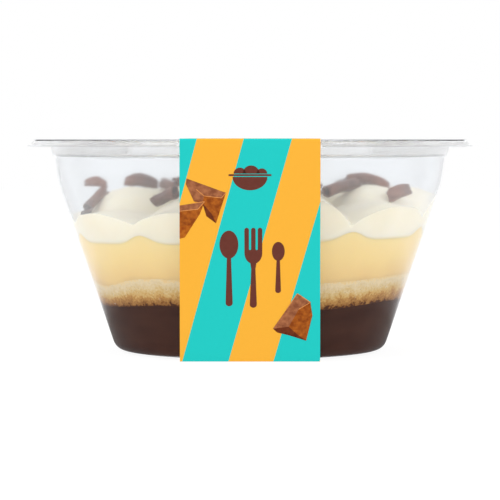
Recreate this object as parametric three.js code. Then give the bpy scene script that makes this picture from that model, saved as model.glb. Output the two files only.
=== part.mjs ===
// A family-size layered trifle in its round clear tub, with a sealed film lid and a printed card sleeve.
// Millimetres, +Z up. The origin is at the centre of the sleeve's underside, the front panel faces -Y.
import * as THREE from "three";

// Card sleeve
const cardThickness = 0.4;
const sleeveTopWidth = 49.8; // across X, at the top fold
const sleeveFootWidth = 51.7; // across X, at the bottom fold
const sleeveFootReach = 52.8; // from the middle to the bottom fold, along Y
const sleeveTopReach = 88; // from the middle to the top fold, along Y
const foldRadius = 0.7;

// Tub, pressed from clear sheet; its heights are counted from its own underside
const sheet = 0.6; // wall thickness
const restGap = 0.1; // between pieces that rest on each other
const tubFloor = cardThickness + restGap;
const puntRadius = 37;
const puntRise = 1.2;
const footCorner = 52; // radius at which the wall's line would meet the underside
const footFillet = 5;
const wallSlope = 0.3405; // radius gained for each millimetre of height
const shoulderHeight = 65.4; // above this the wall is nearly upright
const shoulderSlope = 0.107;
const collarHeight = 74.7;
const collarStep = 1.3;
const flangeInner = 77.6;
const flangeOuter = 84.1;
const flangeHeight = 80.8;
const lipRadius = 86.1;
const lipHeight = 78.6;
const lipThickness = 0.5;
const lidThickness = 0.3;

// Filling
const fillGap = 0.3; // between a layer and the wall or the layer under it
const toffeeHeight = 19.2;
const spongeHeight = 29.4;
const custardHeight = 43.45;
const creamSeat = 47.2; // the cream is never lower than this at the wall
const creamSeatRise = 9; // and than this much more in the middle
const dollopRoot = 45.5; // height at which a dollop's dome would close
const turns = 48; // facets round the tub

const degrees = Math.PI / 180;

const finishes = {
  tub: new THREE.MeshStandardMaterial({ color: "#eef2f6", roughness: 0.06, transparent: true, opacity: 0.2 }),
  film: new THREE.MeshStandardMaterial({ color: "#f6f8fa", roughness: 0.1, transparent: true, opacity: 0.15 }),
  card: new THREE.MeshStandardMaterial({ color: "#22cec7", roughness: 0.5 }),
  toffee: new THREE.MeshStandardMaterial({ color: "#46312a", roughness: 0.35 }),
  sponge: new THREE.MeshStandardMaterial({ color: "#d9b478", roughness: 0.9 }),
  custard: new THREE.MeshStandardMaterial({ color: "#f2d9a0", roughness: 0.4 }),
  cream: new THREE.MeshStandardMaterial({ color: "#f4eede", roughness: 0.5 }),
  chocolate: new THREE.MeshStandardMaterial({ color: "#5f4034", roughness: 0.45 }),
};

const part = new THREE.Group();

function addMesh(name, geometry, material, parent = part) {
  const mesh = new THREE.Mesh(geometry, material);
  mesh.name = name;
  parent.add(mesh);
  return mesh;
}

// Turns a profile of Vector2(radius, height) about Z.
function revolve(profile) {
  return new THREE.LatheGeometry(profile, turns).rotateX(90 * degrees);
}

// Moves every point of a geometry by shape(point).
function reshape(geometry, shape) {
  const position = geometry.attributes.position;
  const point = new THREE.Vector3();
  for (let i = 0; i < position.count; i++) {
    shape(point.fromBufferAttribute(position, i));
    position.setXYZ(i, point.x, point.y, point.z);
  }
  return geometry;
}

// The angle round the tub, from the front and growing to the right.
function angleOf(x, y) {
  return Math.atan2(x, -y);
}

// ---- Tub ----

const footSpan = footFillet * Math.tan(45 * degrees - Math.atan(wallSlope) / 2);
const shoulderRadius = footCorner + wallSlope * shoulderHeight;
const collarRadius = shoulderRadius + shoulderSlope * (collarHeight - shoulderHeight);

// A run of points along a quarter-like arc from one line to the next, as a quadratic curve about their corner.
function bend(from, corner, to, steps) {
  const curve = new THREE.QuadraticBezierCurve(
    new THREE.Vector2(...from), new THREE.Vector2(...corner), new THREE.Vector2(...to));
  return curve.getPoints(steps);
}

// The wall's outer line from the middle of the underside to the collar's upper end.
function outerLine() {
  const wallTop = (height) => shoulderRadius + shoulderSlope * (height - shoulderHeight);
  return [
    new THREE.Vector2(0, puntRise),
    new THREE.Vector2(puntRadius, puntRise),
    new THREE.Vector2(puntRadius + puntRise, 0),
    ...bend([footCorner - footSpan, 0], [footCorner, 0],
      [footCorner + wallSlope * footSpan, footSpan], 4),
    ...bend([shoulderRadius - wallSlope * 3, shoulderHeight - 3], [shoulderRadius, shoulderHeight],
      [wallTop(shoulderHeight + 3), shoulderHeight + 3], 3),
    new THREE.Vector2(collarRadius, collarHeight),
    new THREE.Vector2(collarRadius + 0.8 * collarStep, collarHeight + 0.3 * collarStep),
    new THREE.Vector2(collarRadius + collarStep, collarHeight + collarStep),
  ];
}

// The same line moved inwards by a distance, square to its direction at each point.
function inset(line, distance) {
  return line.map((point, i) => {
    const before = line[Math.max(i - 1, 0)];
    const after = line[Math.min(i + 1, line.length - 1)];
    const along = after.clone().sub(before).normalize();
    const moved = new THREE.Vector2(point.x - along.y * distance, point.y + along.x * distance);
    return i === 0 ? new THREE.Vector2(0, moved.y) : moved;
  });
}

// Up the outside, out under the flange, over its lip and top, and down the inside.
function tubProfile() {
  const outside = outerLine();
  const underFlange = flangeHeight - sheet;
  const rim = [
    new THREE.Vector2(flangeInner, underFlange),
    new THREE.Vector2(flangeOuter - 0.5, underFlange),
    new THREE.Vector2(flangeOuter + 0.3, lipHeight),
    new THREE.Vector2(lipRadius, lipHeight),
    new THREE.Vector2(lipRadius, lipHeight + lipThickness),
    new THREE.Vector2(flangeOuter + 0.9, lipHeight + lipThickness),
    new THREE.Vector2(flangeOuter + 0.6, lipHeight + 2 * lipThickness),
    new THREE.Vector2(flangeOuter, flangeHeight),
    new THREE.Vector2(flangeInner, flangeHeight),
    new THREE.Vector2(flangeInner - sheet, flangeHeight - sheet),
  ];
  return [...outside, ...rim, ...inset(outside, sheet).reverse()];
}

addMesh("tub", revolve(tubProfile()), finishes.tub).position.z = tubFloor;

// ---- Film lid, sealed on the flange ----

const lidBase = tubFloor + flangeHeight + restGap;
addMesh("lid_film", revolve([
  new THREE.Vector2(0, 0),
  new THREE.Vector2(flangeOuter - 0.3, 0),
  new THREE.Vector2(flangeOuter - 0.3, lidThickness),
  new THREE.Vector2(0, lidThickness),
]), finishes.film).position.z = lidBase;

// ---- Sleeve: a closed band, flat over the film and under the tub, its two panels leaning out ----

const sleeveHeight = lidBase + lidThickness + restGap + cardThickness;

// The band's section in the plane of Y and Z, with its four folds rounded.
function sleeveOutline(path, inward) {
  const top = sleeveHeight - inward;
  const foot = inward;
  const topReach = sleeveTopReach - 1.45 * inward;
  const footReach = sleeveFootReach - 0.7 * inward;
  const lean = new THREE.Vector2(topReach - footReach, top - foot).normalize().multiplyScalar(foldRadius);
  path.moveTo(-footReach + foldRadius, foot);
  path.lineTo(footReach - foldRadius, foot);
  path.quadraticCurveTo(footReach, foot, footReach + lean.x, foot + lean.y);
  path.lineTo(topReach - lean.x, top - lean.y);
  path.quadraticCurveTo(topReach, top, topReach - foldRadius, top);
  path.lineTo(-topReach + foldRadius, top);
  path.quadraticCurveTo(-topReach, top, -topReach + lean.x, top - lean.y);
  path.lineTo(-footReach - lean.x, foot + lean.y);
  path.quadraticCurveTo(-footReach, foot, -footReach + foldRadius, foot);
  return path;
}

function sleeveGeometry() {
  const section = sleeveOutline(new THREE.Shape(), 0);
  section.holes.push(sleeveOutline(new THREE.Path(), cardThickness));
  const band = new THREE.ExtrudeGeometry(section, { depth: 1, bevelEnabled: false, curveSegments: 3 });
  band.translate(0, 0, -0.5).applyMatrix4(new THREE.Matrix4().makeBasis(
    new THREE.Vector3(0, 1, 0), new THREE.Vector3(0, 0, 1), new THREE.Vector3(1, 0, 0)));
  return reshape(band, (point) => {
    point.x *= THREE.MathUtils.mapLinear(point.z, 0, sleeveHeight, sleeveFootWidth, sleeveTopWidth);
  });
}

addMesh("sleeve", sleeveGeometry(), finishes.card);

// ---- Filling: each layer is bounded by height fields, in the tub's own heights ----

// A narrow dip or ridge of the given height round one angle.
function bump(angle, at, width, height) {
  const away = Math.atan2(Math.sin(angle - at * degrees), Math.cos(angle - at * degrees));
  return height * Math.exp(-((away / (width * degrees)) ** 2));
}

function toffeeTop(angle) {
  return toffeeHeight + Math.cos(4 * (angle + 28 * degrees)) + 0.3 * Math.sin(angle - 20 * degrees);
}

function spongeTop(angle) {
  return spongeHeight + Math.cos(3 * (angle - 72 * degrees))
    + bump(angle, -64, 17, -4) + bump(angle, 118, 15, -2.4) + bump(angle, -160, 20, -3);
}

// Dollops of cream: angle round the tub, distance from the middle, height of the crest, radius of the dome.
const outerAngles = [-57, -20, 12, 52.7, 89, 125, 160, 196, 231, 266];
const outerCrests = [54.6, 56, 62.4, 58, 63, 57.4, 55.2, 57.4, 55, 53.4];
const innerAngles = [-72, 70, 121, 178, 238];
const innerReaches = [46.5, 49, 46, 42, 47];
const innerCrests = [63.2, 63.9, 62.6, 63, 62];
const dollops = [
  ...outerAngles.map((angle, i) => ({ angle, reach: 58, crest: outerCrests[i], spread: 25.5 })),
  ...innerAngles.map((angle, i) => ({ angle, reach: innerReaches[i], crest: innerCrests[i], spread: 20 })),
  { angle: -14, reach: 42, crest: 62.5, spread: 28 },
  { angle: 100, reach: 13, crest: 64.4, spread: 21 },
  { angle: 270, reach: 17, crest: 65, spread: 22 },
].map((dollop) => ({
  ...dollop,
  x: dollop.reach * Math.sin(dollop.angle * degrees),
  y: -dollop.reach * Math.cos(dollop.angle * degrees),
}));

// The custard is pushed up into ridges near where two outer dollops meet.
function custardTop(angle) {
  const ridges = outerAngles.map((at, i) => {
    const next = outerAngles[(i + 1) % outerAngles.length] + (i === outerAngles.length - 1 ? 360 : 0);
    return bump(angle, (at + next) / 2 + 1.3, 5.5, 3.3);
  });
  return custardHeight + 1.3 * Math.sin(angle) + Math.max(...ridges);
}

function creamTop(x, y) {
  const heights = dollops.map((dollop) => {
    const away = Math.hypot(x - dollop.x, y - dollop.y) / dollop.spread;
    return dollopRoot + (dollop.crest - dollopRoot) * Math.sqrt(Math.max(0, 1 - away * away));
  });
  const share = Math.min(Math.hypot(x, y) / 62, 1);
  return Math.max(creamSeat + creamSeatRise * (1 - share * share), ...heights);
}

// Inner radius of the tub's wall less the gap, at a height above the underside.
function wallReach(height) {
  const straight = footCorner + wallSlope * height - sheet * Math.hypot(1, wallSlope);
  const below = Math.max(footFillet - height, 0);
  const round = footCorner - footSpan + Math.sqrt((footFillet - sheet) ** 2 - below ** 2);
  return Math.min(straight, round + Math.max(height - footFillet, 0)) - fillGap;
}

// The floor rises over the punt, just outside the tub's own step.
const floorReach = wallReach(sheet + fillGap);
const puntEdge = puntRadius + puntRise + 0.5;
const floorRings = [0, puntEdge, puntEdge + puntRise].map((reach) => reach / floorReach);

function floorTop(angle, share) {
  return sheet + fillGap + (share < (floorRings[1] + floorRings[2]) / 2 ? puntRise : 0);
}

// The cream's top over a share of the radius.
function creamOver(angle, share) {
  const reach = share * wallReach(creamSeat + 6);
  return creamTop(reach * Math.sin(angle), -reach * Math.cos(angle));
}

// Turns the diagonals of a lathe's facets from one row on, so that the top of a layer
// is split like the underside of the layer that lies on it.
function turnDiagonals(lathe, rows, firstRow) {
  const index = lathe.index;
  for (let facet = 0; facet < index.count / 6; facet++) {
    if (facet % rows < firstRow) continue;
    const [a, b, d, c] = [0, 1, 2, 3].map((corner) => index.getX(6 * facet + corner));
    [a, b, c, a, c, d].forEach((vertex, corner) => index.setX(6 * facet + corner, vertex));
  }
  return lathe;
}

// A layer between two height fields of angle and share of the radius. The rings are such shares too,
// and the steps up the wall are shares of the layer's height.
function layer(lower, upper, lowerRings, steps, upperRings) {
  const profile = [
    ...lowerRings.map((ring) => new THREE.Vector2(ring, 0)),
    ...steps.map((step) => new THREE.Vector2(1, step)),
    ...[...upperRings].reverse().map((ring) => new THREE.Vector2(ring, 1)),
  ];
  const solid = turnDiagonals(revolve(profile), profile.length - 1, lowerRings.length + steps.length - 1);
  return reshape(solid, (point) => {
    const share = Math.hypot(point.x, point.y);
    const angle = angleOf(point.x, point.y);
    const height = THREE.MathUtils.lerp(lower(angle, share), upper(angle, share), point.z);
    const reach = share * wallReach(height);
    point.set(reach * Math.sin(angle), -reach * Math.cos(angle), height);
  });
}

const broadRings = [0, 0.35, 0.7, 0.9];
const domeRings = [0, 0.12, 0.24, 0.36, 0.48, 0.6, 0.7, 0.78, 0.86, 0.94];

const filling = new THREE.Group();
filling.position.z = tubFloor;
part.add(filling);

const raised = (field) => (angle, share) => field(angle, share) + fillGap;

addMesh("toffee_layer", layer(floorTop, toffeeTop, floorRings, [0, 0.04, 0.12, 0.25, 1], broadRings),
  finishes.toffee, filling);
addMesh("sponge_layer", layer(raised(toffeeTop), spongeTop, broadRings, [0, 1], broadRings),
  finishes.sponge, filling);
addMesh("custard_layer", layer(raised(spongeTop), custardTop, broadRings, [0, 0.5, 1], broadRings),
  finishes.custard, filling);
addMesh("cream_layer", layer(raised(custardTop), creamOver, broadRings, [0, 0.5, 1], domeRings),
  finishes.cream, filling);

// ---- Chocolate curls ----

// A sheet rolled up with the given number of turns, along Z and centred.
// Past one turn it winds inwards, clear of itself.
function rolledSheet(radius, length, windings, thickness) {
  const edges = Math.round(9 * windings) + 2;
  const tightening = windings > 1 ? windings * (thickness + fillGap) : 0;
  const rollPoint = (share, inward) => {
    const turn = 2 * Math.PI * windings * share;
    const reach = radius - tightening * share - inward;
    return new THREE.Vector2(reach * Math.cos(turn), reach * Math.sin(turn));
  };
  const outline = [];
  for (let i = 0; i <= edges; i++) outline.push(rollPoint(i / edges, 0));
  for (let i = edges; i >= 0; i--) outline.push(rollPoint(i / edges, thickness));
  return new THREE.ExtrudeGeometry(new THREE.Shape(outline), { depth: length, bevelEnabled: false })
    .translate(0, 0, -length / 2);
}

// Lays a curl on the cream: the axis follows the slope between its two ends
// and clears the highest point under it.
function settle(curl) {
  const along = new THREE.Vector2(Math.cos(curl.heading * degrees), Math.sin(curl.heading * degrees));
  const surface = (run, side) => creamTop(
    curl.x + along.x * run - along.y * side, curl.y + along.y * run + along.x * side);
  const half = curl.length / 2;
  const slope = (surface(half, 0) - surface(-half, 0)) / curl.length;
  let lift = 0;
  for (let run = -half; run <= half; run += half / 4) {
    for (const side of [-0.7, 0, 0.7]) {
      const dip = curl.radius * (1 - Math.sqrt(1 - side * side));
      lift = Math.max(lift, surface(run, side * curl.radius) - slope * run - dip);
    }
  }
  return { slope, height: lift + curl.radius * Math.hypot(1, slope) + fillGap };
}

// Where the curls lie: middle, heading of the axis, length, radius, windings and the turn of the open edge.
// A curl propped on others has its own height and slope.
const curls = [
  { x: -59.2, y: -12, heading: 4, length: 8.5, radius: 2.7, windings: 0.4, open: 160, height: 66.6, slope: -0.08 },
  { x: -58.7, y: -20, heading: 69.5, length: 16.5, radius: 2.5, windings: 1.2, open: 240, height: 61.1, slope: 0.32 },
  { x: -62.1, y: -23.3, heading: 70, length: 5, radius: 1.4, windings: 0.6, open: 60, height: 53.8, slope: 0.1 },
  { x: -41.8, y: -6, heading: -3, length: 13, radius: 3.7, windings: 0.4, open: 160, height: 65.2, slope: -0.09 },
  { x: -31.5, y: -40, heading: -40, length: 10.5, radius: 2.9, windings: 1.4, open: 275, height: 60.7, slope: 0.36 },
  { x: -24, y: 6, heading: 38, length: 14, radius: 2.6, windings: 1.3, open: 90 },
  { x: -29, y: 32, heading: 150, length: 16, radius: 3, windings: 0.6, open: 30 },
  { x: 34.7, y: -24, heading: 45, length: 17, radius: 2.9, windings: 1.4, open: 250, height: 64, slope: 0.166 },
  { x: 45.6, y: -10.5, heading: 4, length: 17, radius: 2.4, windings: 1.1, open: 150, height: 66.3, slope: -0.2 },
  { x: 55.2, y: -27.5, heading: 25, length: 10, radius: 2.7, windings: 0.5, open: 175, height: 63.6, slope: 0.35 },
  { x: 22, y: 1, heading: 10, length: 12, radius: 2.7, windings: 1.5, open: 0 },
  { x: 0, y: -41, heading: 12, length: 17, radius: 3.1, windings: 1.3, open: 60 },
  { x: 3, y: 16, heading: -22, length: 16, radius: 2.8, windings: 0.55, open: 15 },
  { x: 6, y: 43, heading: 24, length: 15, radius: 3, windings: 1.4, open: 100 },
  { x: 40, y: 30, heading: 128, length: 15, radius: 3, windings: 1.5, open: 210 },
  { x: -55, y: 14, heading: 100, length: 13, radius: 2.7, windings: 0.6, open: 40 },
  { x: 52, y: 20, heading: 160, length: 14, radius: 2.6, windings: 1.2, open: 90 },
  { x: -22, y: 57, heading: 170, length: 12, radius: 2.7, windings: 1.3, open: 60 },
  { x: -5, y: -58, heading: -6, length: 13, radius: 2.8, windings: 1.2, open: 130 },
];
const curlThickness = 0.65;

const garnish = new THREE.Group();
garnish.position.z = tubFloor;
part.add(garnish);

curls.forEach((curl, i) => {
  const rest = curl.height ? curl : settle(curl);
  const roll = rolledSheet(curl.radius, curl.length, curl.windings, curlThickness).rotateZ(curl.open * degrees);
  roll.rotateY(90 * degrees);
  const mesh = addMesh(`chocolate_curl_${String(i + 1).padStart(2, "0")}`, roll, finishes.chocolate, garnish);
  mesh.rotation.set(0, -Math.atan(rest.slope), curl.heading * degrees, "ZYX");
  mesh.position.set(curl.x, curl.y, rest.height);
});

export default part;
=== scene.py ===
import math

import bmesh
import bpy
import numpy as np
from mathutils import Matrix, Vector, noise


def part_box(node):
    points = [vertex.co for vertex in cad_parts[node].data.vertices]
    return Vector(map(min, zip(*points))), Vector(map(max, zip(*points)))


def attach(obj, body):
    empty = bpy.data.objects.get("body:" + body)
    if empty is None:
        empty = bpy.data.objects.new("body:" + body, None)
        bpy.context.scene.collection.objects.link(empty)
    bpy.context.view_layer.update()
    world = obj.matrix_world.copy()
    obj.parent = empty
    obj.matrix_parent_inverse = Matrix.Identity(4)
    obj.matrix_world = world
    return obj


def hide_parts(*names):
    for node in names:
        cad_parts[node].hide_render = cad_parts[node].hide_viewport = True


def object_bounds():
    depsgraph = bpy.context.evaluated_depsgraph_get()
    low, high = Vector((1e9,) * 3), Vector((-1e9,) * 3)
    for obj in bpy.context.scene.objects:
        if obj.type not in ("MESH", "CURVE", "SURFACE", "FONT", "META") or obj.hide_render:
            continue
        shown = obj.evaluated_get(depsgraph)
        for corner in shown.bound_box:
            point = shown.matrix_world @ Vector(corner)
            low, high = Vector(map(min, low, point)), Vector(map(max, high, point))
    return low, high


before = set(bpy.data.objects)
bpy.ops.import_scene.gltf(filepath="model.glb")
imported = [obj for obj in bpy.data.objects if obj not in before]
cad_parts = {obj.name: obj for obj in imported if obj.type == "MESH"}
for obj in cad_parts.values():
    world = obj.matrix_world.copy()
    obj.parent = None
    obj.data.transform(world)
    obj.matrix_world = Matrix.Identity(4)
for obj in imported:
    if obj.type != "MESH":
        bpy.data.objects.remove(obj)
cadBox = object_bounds()
print("frame loaded")

scene = bpy.context.scene
mm = 0.001
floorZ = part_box("tub")[0].z  # underside of the tub
lidLow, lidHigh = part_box("lid_film")
sleeveLow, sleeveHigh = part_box("sleeve")


def tint(code, alpha=1.0):  # an sRGB hex colour as linear values
    parts = [int(code[i:i + 2], 16) / 255 for i in (1, 3, 5)]
    return tuple(c / 12.92 if c <= 0.04045 else ((c + 0.055) / 1.055) ** 2.4 for c in parts) + (alpha,)


def addNode(tree, kind, inputs=(), stops=(), **settings):
    # inputs go by name or number, or in order, and a colour Mix has its colours at 6 and 7;
    # a node given as a value stands for its first output
    node = tree.nodes.new(kind)
    for name, value in settings.items():
        setattr(node, name, value)
    for key, value in inputs.items() if isinstance(inputs, dict) else enumerate(inputs):
        if isinstance(value, bpy.types.Node):
            value = value.outputs[0]
        if isinstance(value, bpy.types.NodeSocket):
            tree.links.new(value, node.inputs[key])
        else:
            node.inputs[key].default_value = value
    if stops:  # places and colours along a ramp
        marks = node.color_ramp.elements
        while len(marks) < len(stops):
            marks.new(0.5)
        for mark, (place, code) in zip(marks, stops):
            mark.position = place
            mark.color = tint(code)
    return node


def addTree(name, inputs):  # a geometry tree whose named inputs are (name, kind) pairs
    tree = bpy.data.node_groups.new(name, "GeometryNodeTree")
    for label, kind in inputs:
        tree.interface.new_socket(name=label, in_out="INPUT", socket_type="NodeSocket" + kind)
    tree.interface.new_socket(name="Geometry", in_out="OUTPUT", socket_type="NodeSocketGeometry")
    return tree, tree.nodes.new("NodeGroupInput").outputs


def endTree(tree, geometry, material):
    real = addNode(tree, "GeometryNodeRealizeInstances", {"Geometry": geometry})
    painted = addNode(tree, "GeometryNodeSetMaterial", {"Geometry": real, "Material": material})
    addNode(tree, "NodeGroupOutput", (painted,))


def growFrom(item, tree, values):  # puts the tree on the item, with its inputs set
    modifier = item.modifiers.new(tree.name, "NODES")
    modifier.node_group = tree
    for socket in tree.interface.items_tree:
        if socket.in_out == "INPUT" and socket.name in values:
            modifier[socket.identifier] = values[socket.name]


def bake(item):  # modifiers turned into a plain mesh
    bpy.context.view_layer.update()
    shaped = item.evaluated_get(bpy.context.evaluated_depsgraph_get())
    mesh = bpy.data.meshes.new_from_object(shaped)
    item.modifiers.clear()
    item.data = mesh
    used = [material for material in mesh.materials if material]
    mesh.materials.clear()
    for material in used:
        mesh.materials.append(material)
    mesh.polygons.foreach_set("material_index", [0] * len(mesh.polygons))
    return item


def newPiece(name, mesh=None):
    item = bpy.data.objects.new(name, mesh or bpy.data.meshes.new(name))
    scene.collection.objects.link(item)
    return item


def smooth(mesh):
    mesh.polygons.foreach_set("use_smooth", [True] * len(mesh.polygons))


def faceOut(mesh):
    work = bmesh.new()
    work.from_mesh(mesh)
    bmesh.ops.remove_doubles(work, verts=work.verts, dist=2e-6)
    bmesh.ops.recalc_face_normals(work, faces=work.faces)
    if work.calc_volume(signed=True) < 0:
        bmesh.ops.reverse_faces(work, faces=work.faces)
    work.to_mesh(mesh)
    work.free()


def settlePiece(item, slot, *nodes):  # the piece rides on the root body and stands for the part's solids, which it hides
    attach(item, "root")
    if nodes:
        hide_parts(*nodes)


def newMaterial(name):
    material = bpy.data.materials.new(name)
    material.use_nodes = True
    tree = material.node_tree
    tree.nodes.clear()
    return material, tree


def finishOpaque(tree, values, relief=None):  # relief is height, strength and depth in millimetres
    if relief:
        height, strength, depth = relief
        values = values | {"Normal": addNode(tree, "ShaderNodeBump", {
            "Height": height, "Strength": strength, "Distance": depth * mm})}
    shader = addNode(tree, "ShaderNodeBsdfPrincipled", values)
    addNode(tree, "ShaderNodeOutputMaterial", {"Surface": shader})


# the camera is level with the rim, about a metre off, and aimed at the middle of the tub
view = {"distance": 0.953, "height": 0.0826, "aimHeight": 0.0388, "lens": 176.4}
camera = bpy.data.objects.new("camera", bpy.data.cameras.new("camera"))
scene.collection.objects.link(camera)
camera.data.lens = view["lens"]
camera.data.sensor_width = 36
camera.location = (0, -view["distance"], view["height"])
aim = Vector((0, 0, view["aimHeight"])) - camera.location
camera.rotation_euler = aim.to_track_quat("-Z", "Y").to_euler()
scene.camera = camera
scene.view_settings.view_transform = "Standard"


# sizes and heights here are millimetres, above the tub's underside, as in the solids
tub = {"sheet": 0.6, "puntRadius": 37, "puntRise": 1.2, "footCorner": 52, "footFillet": 5,
       "wallSlope": 0.3405, "shoulderHeight": 65.4, "shoulderSlope": 0.107, "collarHeight": 74.7,
       "collarStep": 1.3, "flangeInner": 77.6, "flangeOuter": 84.1, "flangeHeight": 80.8,
       "lipRadius": 86.1, "lipHeight": 78.6, "lipThickness": 0.5,
       "lugDepth": 0.45, "lugAngle": 46, "lugTurn": -2.7, "lugWidth": 0.7, "dampFoot": 50, "thinFoot": 75,
       "sectors": 288}
footSpan = tub["footFillet"] * math.tan(math.pi / 4 - math.atan(tub["wallSlope"]) / 2)

fill = {"toffee": 19.2, "sponge": 29.4, "custard": 43.45, "creamSeat": 47.2, "seatRise": 9, "root": 45.5,
        "reachIn": 0.25, "floorReach": 0.2,  # how far the filling reaches into the wall and the floor
        "tuck": 0.6,  # how far each layer hides under the one on it
        "sectors": 360}
outerAngles = [-57, -20, 12, 52.7, 89, 125, 160, 196, 231, 266]
outerCrests = [54.6, 56, 62.4, 58, 63, 57.4, 55.2, 57.4, 55, 53.4]
dollops = [  # angle, distance out, crest, spread
    (a, 58, c, 25.5) for a, c in zip(outerAngles, outerCrests)]
dollops += [(-72, 46.5, 63.2, 20), (70, 49, 63.9, 20), (121, 46, 62.6, 20), (178, 42, 63, 20),
            (238, 47, 62, 20), (-14, 42, 62.5, 28), (100, 13, 64.4, 21), (270, 17, 65, 22)]


def dipAt(angle, at, width, height):
    away = np.arctan2(np.sin(angle - np.radians(at)), np.cos(angle - np.radians(at)))
    return height * np.exp(-(away / np.radians(width)) ** 2)


def toffeeTop(angle):
    return fill["toffee"] + np.cos(4 * (angle + np.radians(28))) + 0.3 * np.sin(angle - np.radians(20))


def spongeTop(angle):
    return (fill["sponge"] + np.cos(3 * (angle - np.radians(72))) + dipAt(angle, -64, 17, -4)
            + dipAt(angle, 118, 15, -2.4) + dipAt(angle, -160, 20, -3))


def custardTop(angle):
    following = outerAngles[1:] + [outerAngles[0] + 360]
    between = [(a + b) / 2 for a, b in zip(outerAngles, following)]
    ridges = [dipAt(angle, middle + 1.3, 5.5, 3.3) for middle in between]
    return fill["custard"] + 1.3 * np.sin(angle) + np.max(ridges, axis=0)


def creamTop(x, y):
    share = np.minimum(np.hypot(x, y) / 62, 1)
    heights = [fill["creamSeat"] + fill["seatRise"] * (1 - share ** 2)]
    for angle, reach, crest, spread in dollops:
        away = np.hypot(x - reach * math.sin(math.radians(angle)),
                        y + reach * math.cos(math.radians(angle))) / spread
        heights.append(fill["root"] + (crest - fill["root"]) * np.sqrt(np.maximum(0, 1 - away ** 2)))
    return np.array(heights)


def innerWall(height):  # radius of the wall's inner face
    straight = tub["footCorner"] + tub["wallSlope"] * height - tub["sheet"] * math.hypot(1, tub["wallSlope"])
    below = np.clip(tub["footFillet"] - height, 0, tub["footFillet"] - tub["sheet"])
    turned = tub["footCorner"] - footSpan + np.sqrt((tub["footFillet"] - tub["sheet"]) ** 2 - below ** 2)
    return np.minimum(straight, turned + np.maximum(height - tub["footFillet"], 0))


def ringMesh(name, rows, extras=None):  # rows of (radius, height) run from the lower pole out, up and back
    count = fill["sectors"]
    angles = np.linspace(0, 2 * np.pi, count, endpoint=False)
    points, starts = [], []
    for reach, height in rows:
        starts.append(len(points))
        if np.max(reach) < 1e-6:
            points.append((0, 0, float(np.mean(height)) * mm + floorZ))
            continue
        x = reach * np.sin(angles) * mm
        y = -reach * np.cos(angles) * mm
        points += list(zip(x.tolist(), y.tolist(), (height * mm + floorZ).tolist()))
    faces = []
    last = len(rows) - 1
    for row in range(last):
        a, b = starts[row], starts[row + 1]
        for i in range(count):
            j = (i + 1) % count
            if row == 0:
                faces.append((a, b + j, b + i))
            elif row == last - 1:
                faces.append((a + i, a + j, b))
            else:
                faces.append((a + i, a + j, b + j, b + i))
    mesh = bpy.data.meshes.new(name)
    mesh.from_pydata(points, [], faces)
    if extras:
        values = np.concatenate([np.full(1 if np.max(reach) < 1e-6 else count, share)
                                 for (reach, _), share in zip(rows, extras)])
        mesh.attributes.new("rise", "FLOAT", "POINT").data.foreach_set("value", values.astype(np.float32))
    faceOut(mesh)
    smooth(mesh)
    mesh.set_sharp_from_angle(angle=math.radians(50))
    return mesh


def layerRows(lower, upper, lowerShares, steps, upperShares, topHeight=None):
    # radius and height of each row, and how far up the layer it is
    angles = np.linspace(0, 2 * np.pi, fill["sectors"], endpoint=False)
    rows, rises = [], []
    reachIn = fill["reachIn"]
    low, high = lower(angles), upper(angles)
    for share in lowerShares:
        height = low - (fill["tuck"] if share < 0.995 else 0)
        rows.append((share * (innerWall(height) + reachIn), height))
        rises.append(0)
    for step in steps:
        height = low + (high - low) * step
        rows.append((innerWall(height) + reachIn, height))
        rises.append(step)
    for share in upperShares:
        height = high
        reach = share * (innerWall(height) + reachIn)
        if topHeight is not None:
            height = topHeight(reach * np.sin(angles), -reach * np.cos(angles), share)
        rows.append((reach, height))
        rises.append(1)
    return rows, rises


def toffeeMaterial():  # sticky toffee sauce: dense dark brown, nearly even, a little redder in thin streaks
    material, tree = newMaterial("sticky toffee sauce")
    place = addNode(tree, "ShaderNodeTexCoord").outputs["Object"]
    streak = addNode(tree, "ShaderNodeMapping", {"Vector": place, "Scale": (1, 1, 3)})
    cloud = addNode(tree, "ShaderNodeTexNoise", {"Vector": streak, "Scale": 1 / (14 * mm), "Detail": 3})
    colour = addNode(tree, "ShaderNodeValToRGB", {"Fac": cloud}, stops=[(0.3, "#38190f"), (0.7, "#432418")])
    finishOpaque(tree, {"Base Color": colour, "Roughness": 0.6, "Specular IOR Level": 0.05})
    return material


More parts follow.
